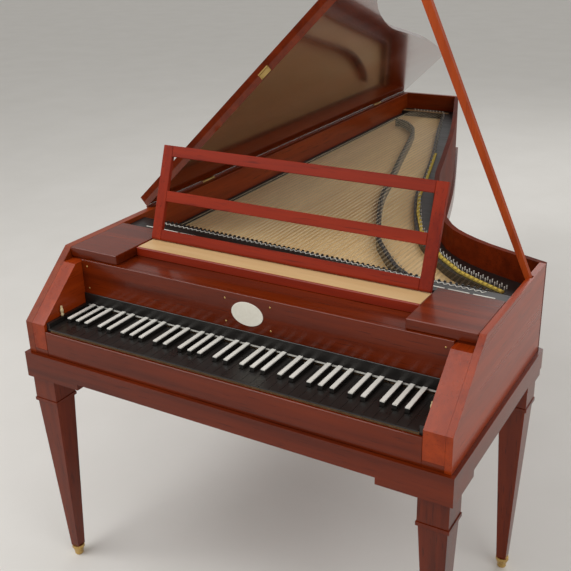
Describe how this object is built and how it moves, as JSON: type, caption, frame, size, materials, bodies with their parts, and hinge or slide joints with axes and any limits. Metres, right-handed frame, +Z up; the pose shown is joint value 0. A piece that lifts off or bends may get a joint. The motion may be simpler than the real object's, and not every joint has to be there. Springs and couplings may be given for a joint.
{
  "type": "fortepiano",
  "caption": "Mahogany fortepiano with black naturals, lid open on its prop and music desk raised, on tapered legs.",
  "frame": {"origin": "centre of the footprint's box, on the floor", "axes": "+X from bass to treble, +Y from the keyboard to the tail, +Z up"},
  "size_m": [1.075, 2.206, 1.5681],
  "materials": {
    "mahogany": "French polish",
    "bright_mahogany": "satin",
    "spruce": "oiled",
    "light_wood": "bare",
    "key_wood": "satin",
    "oak": "bare",
    "black_wood": "satin",
    "brass": "polished"
  },
  "bodies": {
    "case": {"bottom_board": "oak", "spine": "mahogany", "tail_board": "mahogany", "bentside": "mahogany", "cheek": "mahogany", "bass_cheek_block": "mahogany", "treble_cheek_block": "mahogany", "belly_rail": "oak", "wrestplank": "oak", "nameboard": "mahogany", "nameboard_batten": "black_wood", "keyslip": "mahogany", "bass_key_block": "black_wood", "treble_key_block": "black_wood", "bass_cap": "mahogany", "treble_cap": "mahogany", "desk_shelf": "mahogany", "soundboard": "spruce", "bridge": "black_wood", "hitch_rail": "black_wood", "damper_rail": "black_wood", "stand_front_rail": "mahogany", "stand_spine_rail": "mahogany", "stand_tail_rail": "mahogany", "stand_side_rail": "mahogany", "leg_front_bass": "mahogany", "leg_front_treble": "mahogany", "leg_side": "mahogany", "leg_tail": "mahogany", "foot_front_bass": "brass", "foot_front_treble": "brass", "foot_side": "brass", "foot_tail": "brass", "key_frame": "key_wood", "lid_hinge_front": "brass", "lid_hinge_rear": "brass"},
    "lid": {"main_lid": "mahogany", "flap_hinge": "brass"},
    "flap": {"front_flap": "mahogany"},
    "prop": {"prop_stick": "bright_mahogany"},
    "desk": {"desk_base": "light_wood"},
    "desk_frame": {"desk_stile_bass": "bright_mahogany", "desk_stile_treble": "bright_mahogany", "desk_rail_bottom": "bright_mahogany", "desk_rail_middle": "bright_mahogany", "desk_rail_top": "bright_mahogany"},
    "dampers": {"damper_rack": "black_wood"},
    "hammer": {"hammer_a1": "light_wood"},
    "key_c1": {"key_c1": "black_wood"},
    "key_c1_sharp": {"key_c1_sharp": "black_wood"},
    "key_d1": {"key_d1": "black_wood"},
    "key_d1_sharp": {"key_d1_sharp": "black_wood"},
    "key_e1": {"key_e1": "black_wood"},
    "key_f1": {"key_f1": "black_wood"},
    "key_f1_sharp": {"key_f1_sharp": "black_wood"},
    "key_g1": {"key_g1": "black_wood"},
    "key_g1_sharp": {"key_g1_sharp": "black_wood"},
    "key_a1": {"key_a1": "black_wood"},
    "key_a1_sharp": {"key_a1_sharp": "black_wood"},
    "key_b1": {"key_b1": "black_wood"}
  },
  "joints": [
    {"name": "lid_hinge", "type": "hinge", "parent": "case", "child": "lid", "pos_m": [-0.51952, 0.2455, 0.8233], "axis": [0, -1, 0], "range_deg": [-43.5, 0]},
    {"name": "flap_hinge_turn", "type": "hinge", "parent": "lid", "child": "flap", "pos_m": [-0.16726, -0.626, 1.17847], "axis": [0.7254, 0, 0.6884], "range_deg": [0, 150]},
    {"name": "prop_hinge", "type": "hinge", "parent": "case", "child": "prop", "pos_m": [0.51898, -0.636, 0.8145], "axis": [0, 1, 0], "range_deg": [-67, 0]},
    {"name": "desk_slide", "type": "slide", "parent": "case", "child": "desk", "axis": [0, -1, 0], "range_m": [-0.02, 0.06]},
    {"name": "desk_tilt", "type": "hinge", "parent": "desk", "child": "desk_frame", "pos_m": [0.00648, -0.807, 0.8273], "axis": [-1, 0, 0], "range_deg": [-110.3, 10]},
    {"name": "damper_lift", "type": "slide", "parent": "case", "child": "dampers", "axis": [0, 0, 1], "range_m": [0, 0.005]},
    {"name": "hammer_swing", "type": "hinge", "parent": "key_a1", "child": "hammer", "pos_m": [0.09327, -0.636, 0.683], "axis": [-1, 0, 0], "range_deg": [0, 13.5]},
    {"name": "key_c1_press", "type": "hinge", "parent": "case", "child": "key_c1", "pos_m": [-0.0269, -0.891, 0.6515], "axis": [1, 0, 0], "range_deg": [0, 1.7], "stiffness_Nm_per_rad": 2, "springref_deg": -3.44},
    {"name": "key_c1_sharp_press", "type": "hinge", "parent": "case", "child": "key_c1_sharp", "pos_m": [-0.01355, -0.891, 0.6515], "axis": [1, 0, 0], "range_deg": [0, 1.7], "stiffness_Nm_per_rad": 2, "springref_deg": -3.44},
    {"name": "key_d1_press", "type": "hinge", "parent": "case", "child": "key_d1", "pos_m": [-0.0002, -0.891, 0.6515], "axis": [1, 0, 0], "range_deg": [0, 1.7], "stiffness_Nm_per_rad": 2, "springref_deg": -3.44},
    {"name": "key_d1_sharp_press", "type": "hinge", "parent": "case", "child": "key_d1_sharp", "pos_m": [0.01315, -0.891, 0.6515], "axis": [1, 0, 0], "range_deg": [0, 1.7], "stiffness_Nm_per_rad": 2, "springref_deg": -3.44},
    {"name": "key_e1_press", "type": "hinge", "parent": "case", "child": "key_e1", "pos_m": [0.02651, -0.891, 0.6515], "axis": [1, 0, 0], "range_deg": [0, 1.7], "stiffness_Nm_per_rad": 2, "springref_deg": -3.44},
    {"name": "key_f1_press", "type": "hinge", "parent": "case", "child": "key_f1", "pos_m": [0.03986, -0.891, 0.6515], "axis": [1, 0, 0], "range_deg": [0, 1.7], "stiffness_Nm_per_rad": 2, "springref_deg": -3.44},
    {"name": "key_f1_sharp_press", "type": "hinge", "parent": "case", "child": "key_f1_sharp", "pos_m": [0.05321, -0.891, 0.6515], "axis": [1, 0, 0], "range_deg": [0, 1.7], "stiffness_Nm_per_rad": 2, "springref_deg": -3.44},
    {"name": "key_g1_press", "type": "hinge", "parent": "case", "child": "key_g1", "pos_m": [0.06657, -0.891, 0.6515], "axis": [1, 0, 0], "range_deg": [0, 1.7], "stiffness_Nm_per_rad": 2, "springref_deg": -3.44},
    {"name": "key_g1_sharp_press", "type": "hinge", "parent": "case", "child": "key_g1_sharp", "pos_m": [0.07992, -0.891, 0.6515], "axis": [1, 0, 0], "range_deg": [0, 1.7], "stiffness_Nm_per_rad": 2, "springref_deg": -3.44},
    {"name": "key_a1_press", "type": "hinge", "parent": "case", "child": "key_a1", "pos_m": [0.09327, -0.891, 0.6515], "axis": [1, 0, 0], "range_deg": [0, 1.7], "stiffness_Nm_per_rad": 2, "springref_deg": -3.44},
    {"name": "key_a1_sharp_press", "type": "hinge", "parent": "case", "child": "key_a1_sharp", "pos_m": [0.10662, -0.891, 0.6515], "axis": [1, 0, 0], "range_deg": [0, 1.7], "stiffness_Nm_per_rad": 2, "springref_deg": -3.44},
    {"name": "key_b1_press", "type": "hinge", "parent": "case", "child": "key_b1", "pos_m": [0.11998, -0.891, 0.6515], "axis": [1, 0, 0], "range_deg": [0, 1.7], "stiffness_Nm_per_rad": 2, "springref_deg": -3.44}
  ],
  "couplings": [
    {"joint": "prop_hinge", "follows": "lid_hinge", "ratio": 1.5402},
    {"joint": "hammer_swing", "follows": "key_a1_press", "ratio": 7.9411}
  ]
}
